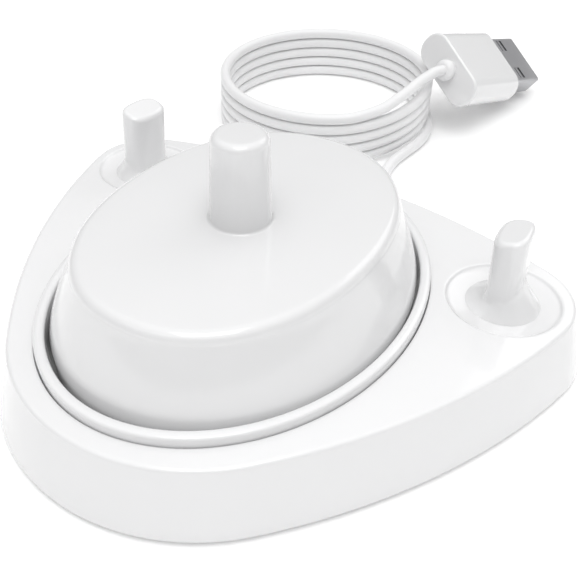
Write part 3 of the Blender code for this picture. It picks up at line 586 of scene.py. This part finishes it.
def fill_flat(bm, loops, up=True):
    """Triangles between an outer loop and the rounded holes inside it, all at one height."""
    verts = [v for loop in loops for v in loop]
    owner = [k for k, loop in enumerate(loops) for _ in loop]
    edges, start = [], 0
    for loop in loops:
        count = len(loop)
        edges += [(start + i, start + (i + 1) % count) for i in range(count)]
        start += count
    points = [Vector((v.co.x, v.co.y)) for v in verts]
    _, _, faces, originals, _, _ = delaunay_2d_cdt(points, edges, [], 1, 1e-7)
    for face in faces:
        corners = [originals[i][0] for i in face]
        holes = {owner[i] for i in corners}
        if holes == {0} or len(holes) > 1:  # a triangle with one hole's corners only lies in it
            bm.faces.new([verts[i] for i in (corners if up else corners[::-1])])


def build_tray():
    """Skirt, deck with its well and dishes, and the posts under it, as one open moulding."""
    outline = tray_outline()
    top, under = TRAY_HEIGHT, TRAY_HEIGHT - TRAY_WALL
    wall_top = top - TRAY_EDGE
    profile = [(TRAY_DRAFT - TRAY_WALL, TRAY_LIFT), (TRAY_DRAFT - 0.25, TRAY_LIFT),
               (TRAY_DRAFT - 0.07, TRAY_LIFT + 0.07), (TRAY_DRAFT, TRAY_LIFT + 0.25)]
    for k in range(1, 9):
        t = k / 8
        profile.append((mix(TRAY_DRAFT, 0.1, t) + 0.1 * math.sin(math.pi * t),
                        mix(TRAY_LIFT + 0.25, wall_top, t)))
    profile += [(0.1 - TRAY_EDGE + x, wall_top + z)
                for x, z in arc((0, 0), TRAY_EDGE, 0, 90, 8)[1:]]
    profile.append((-TRAY_EDGE - 0.1, top))
    bm = bmesh.new()

    def rings(points):
        return [[Vector((*(p + offset * way), z)) for p, way in outline] for offset, z in points]

    skirt = add_rings(bm, rings(profile))
    inner = add_rings(bm, rings([(-TRAY_WALL, under), (TRAY_DRAFT - TRAY_WALL, TRAY_LIFT)]))
    for i in range(len(outline)):
        j = (i + 1) % len(outline)
        bm.faces.new((inner[1][i], inner[1][j], skirt[0][j], skirt[0][i]))
    hole = shrink(RIM_OUTER, -RIM_GAP)
    well = add_rings(bm, [oval(shrink(hole, -0.35), WELL_Y, top), oval(shrink(hole, -0.12), WELL_Y, top),
                          oval(shrink(hole, -0.03), WELL_Y, top - 0.05),
                          oval(hole, WELL_Y, top - 0.15), oval(hole, WELL_Y, under)])
    dishes = []
    for side in (-1, 1):
        centre = (side * PEG_X, PEG_Y)
        steps = [circle(r, top - depth, 120, centre) for r, depth in DISH_PROFILE]
        dishes.append(add_rings(bm, steps + [circle(SOCKET_RADIUS, under, 120, centre)]))
    fill_flat(bm, [skirt[-1], well[0], dishes[0][0], dishes[1][0]])
    fill_flat(bm, [inner[0], well[-1], dishes[0][-1], dishes[1][-1]], up=False)
    bmesh.ops.remove_doubles(bm, verts=bm.verts, dist=1e-5)
    tray = from_bmesh("tray_body", bm, "white_gloss")
    joined = under + 0.6  # the posts end inside the deck
    tools = [("UNION", cylinder((x, y, 6.2), (x, y, joined), SCREW_POST_RADIUS))
             for x, y in collar_screws()]
    tools += [("UNION", cylinder((x, FOOT_POST_Y, 1.9), (x, FOOT_POST_Y, joined), FOOT_POST_RADIUS))
              for x in (-FOOT_POST_X, FOOT_POST_X)]
    tools += [("UNION", block(*FRONT_PAD)), ("DIFFERENCE", cord_arch())]
    carve(tray, tools)
    flatten_shading(tray)
    place_piece(tray, "tray", "white_gloss", "tray_shell")


def cord_arch():
    """Arch for the cable through the rear of the tray, open to the table."""
    width, crown = 6.2, 7.4
    outline = [(-width / 2, -1), (width / 2, -1)]
    outline += arc((0, crown - width / 2), width / 2, 0, 180, 24)
    rings = [[Vector((x, y, z)) for x, z in outline] for y in (27, 42)]
    bm = bmesh.new()
    add_rings(bm, rings, cap_start=True, cap_end=True)
    return from_bmesh("cutter", bm, "white_gloss")


def collar_screws():
    """Places of the screws around the well."""
    half = shrink(RIM_OUTER, -2.25)
    return [(half[0] * math.cos(math.radians(a)), WELL_Y + half[1] * math.sin(math.radians(a)))
            for a in (2, 48, 132, 178)]


def build_collar():
    """Rim and wall of the well, with ears for its screws."""
    top, low, width = TRAY_HEIGHT + RIM_HEIGHT, COLLAR_FOOT, RIM_WIDTH
    edge, inner, crown = 0.4, 0.5, 0.08  # outer and inner edge rounding, rise of the top
    profile = [(0, low + 0.2), (0, 6.0), (0, TRAY_HEIGHT)]
    profile += [(edge + x, top - crown - edge + z) for x, z in arc((0, 0), edge, 180, 100, 7)]
    profile += [(mix(edge, width - inner, t), top - crown * (2 * t - 1) ** 2)
                for t in (0.2, 0.5, 0.8)]
    profile += [(width - inner + x, top - crown - inner + z)
                for x, z in arc((0, 0), inner, 80, 0, 9)]
    profile += [(width, 6.0), (width, low + 0.2), (width - 0.2, low), (0.2, low)]
    rings = [oval(shrink(RIM_OUTER, inset), WELL_Y, z) for inset, z in profile]
    collar = loft("well_rim", rings, "white_gloss", wrap=True)
    tools = [("UNION", cylinder((x, y, 4.9), (x, y, 5.9), EAR_RADIUS)) for x, y in collar_screws()]
    tools += [("DIFFERENCE", cylinder((x, y, 3), (x, y, 7), SCREW_HOLE_RADIUS))
              for x, y in collar_screws()]
    carve(collar, tools + [("DIFFERENCE", cord_arch())])
    place_piece(collar, "tray", "white_gloss", "well_collar")


PEG_HALF, PEG_SQUARENESS = (2.34, 3.75), 2.8  # upright part: half sizes across and along
PEG_SHIFT = (-0.16, -0.1)  # from the disc to the foot of the upright part
PEG_TURN, PEG_LEAN, PEG_SLOPE = math.radians(5), 0.055, 0.22
PEG_DISC_RADIUS, PEG_FLARE, PEG_EDGE = 5.2, (1.7, 4.8), 0.8
PEG_STEPS = 144


def peg_ring(side, height, z, inset=0.0):
    """Ring of a peg at a height above its seat: a disc that narrows to a turned oval."""
    above = max(0.0, height - PEG_FLARE[1])
    tilt = PEG_SLOPE * above / (PEG_TOP - TRAY_HEIGHT - PEG_FLARE[1])
    ring = []
    for k in range(PEG_STEPS):
        a = 2 * math.pi * k / PEG_STEPS
        c, s = math.cos(a), math.sin(a)
        reach = (abs(c / (PEG_HALF[0] - inset)) ** PEG_SQUARENESS
                 + abs(s / (PEG_HALF[1] - inset)) ** PEG_SQUARENESS) ** (-1 / PEG_SQUARENESS)
        x = reach * (c * math.cos(PEG_TURN) - s * math.sin(PEG_TURN)) + PEG_SHIFT[0]
        x -= PEG_LEAN * above
        y = reach * (c * math.sin(PEG_TURN) + s * math.cos(PEG_TURN)) + PEG_SHIFT[1]
        narrow = 1 - (1 - min(1.0, height / mix(*PEG_FLARE, ((1 + c) / 2) ** 2))) ** 1.3
        x, y = mix(PEG_DISC_RADIUS * c, x, narrow), mix(PEG_DISC_RADIUS * s, y, narrow)
        ring.append(Vector((side * (PEG_X + x), PEG_Y + y, z + tilt * x)))
    return ring


def build_pegs():
    """The two pegs, each the other's mirror image, with a stub pressed into the tray."""
    seat = TRAY_HEIGHT - DISH_DEPTH + 0.02
    levels = [(seat + h, 0.0) for h in (0, 0.06, 0.2, 0.4, 0.6, 0.8, 1.0, 1.15, 1.3, 1.45, 1.6, 1.75,
                                        2.0, 2.4, 2.8, 3.2, 3.6, 4.0, 4.4, 4.8, 6.0, 8.0, 10.0)]
    levels += [(PEG_TOP - PEG_EDGE + z, PEG_EDGE - x) for x, z in arc((0, 0), PEG_EDGE, 0, 90, 9)]
    for side, name in ((-1, "peg_left"), (1, "peg_right")):
        rings = [peg_ring(side, z - seat, z, inset) for z, inset in levels]
        bottom = [circle(2.0, z, PEG_STEPS, (side * PEG_X, PEG_Y)) for z in (seat - 2.7, seat)]
        if side < 0:  # the mirrored rings run the other way round
            bottom = [[ring[(PEG_STEPS // 2 - i) % PEG_STEPS] for i in range(PEG_STEPS)]
                      for ring in bottom]
        peg = loft(f"{name}_post", bottom + rings, "white_gloss", cap_start=True, cap_end=True)
        flatten_shading(peg)
        place_piece(peg, "tray", "white_gloss", name)


build_tray()
build_collar()
build_pegs()


# ---------------------------------------------------------------- floor and light
TABLE = (0, 0.02, 0)  # where the lights point
FLOOR_GLOW = 0.08  # lifts the shadows on the table


def add_floor():
    bm = bmesh.new()
    bmesh.ops.create_grid(bm, x_segments=1, y_segments=1, size=2.0)
    mesh = bpy.data.meshes.new("floor")
    bm.to_mesh(mesh)
    bm.free()
    mesh.materials.append(grained("floor_white", (0.95, 0.95, 0.95), 0.7, grain=2.0, depth=0.0,
                                  mottle=0.0))
    shader = mesh.materials[0].node_tree.nodes["Principled BSDF"]
    shader.inputs["Emission Color"].default_value = (1, 1, 1, 1)
    shader.inputs["Emission Strength"].default_value = FLOOR_GLOW
    floor = bpy.data.objects.new("floor", mesh)
    floor.location.z = -0.0002
    bpy.context.scene.collection.objects.link(floor)


def add_softbox(name, place, target, size, power):
    """Area light; places and sizes in metres, power in watts."""
    data = bpy.data.lights.new(name, "AREA")
    data.shape, data.size, data.size_y, data.energy = "RECTANGLE", size[0], size[1], power
    lamp = bpy.data.objects.new(name, data)
    lamp.location = place
    lamp.rotation_euler = (Vector(target) - Vector(place)).to_track_quat("-Z", "Y").to_euler()
    bpy.context.scene.collection.objects.link(lamp)


def add_world(stops, strength):
    """Plain studio surround, brighter overhead. stops are (upward share, brightness)."""
    world = bpy.data.worlds.new("studio")
    world.use_nodes = True
    tree = world.node_tree
    where = tree.nodes.new("ShaderNodeTexCoord")
    split = tree.nodes.new("ShaderNodeSeparateXYZ")
    shade = tree.nodes.new("ShaderNodeValToRGB")
    while len(shade.color_ramp.elements) < len(stops):
        shade.color_ramp.elements.new(0.5)
    for element, (height, brightness) in zip(shade.color_ramp.elements, stops):
        element.position, element.color = height, (brightness, brightness, brightness, 1)
    tree.links.new(where.outputs["Generated"], split.inputs["Vector"])
    tree.links.new(split.outputs["Z"], shade.inputs["Fac"])
    tree.links.new(shade.outputs["Color"], tree.nodes["Background"].inputs["Color"])
    tree.nodes["Background"].inputs["Strength"].default_value = strength
    bpy.context.scene.world = world


add_floor()
add_world([(0.0, 0.23), (0.5, 0.28), (1.0, 1.0)], 1.56)
add_softbox("overhead", (0.16, -0.2, 0.86), TABLE, (0.5, 0.5), 1.9)
add_softbox("strip", (0.12, -0.6, 0.72), TABLE, (1.3, 0.06), 0.5)
add_softbox("back", (0.15, 0.62, 0.5), TABLE, (0.5, 0.3), 0.45)
bpy.context.scene.view_settings.view_transform = "Standard"
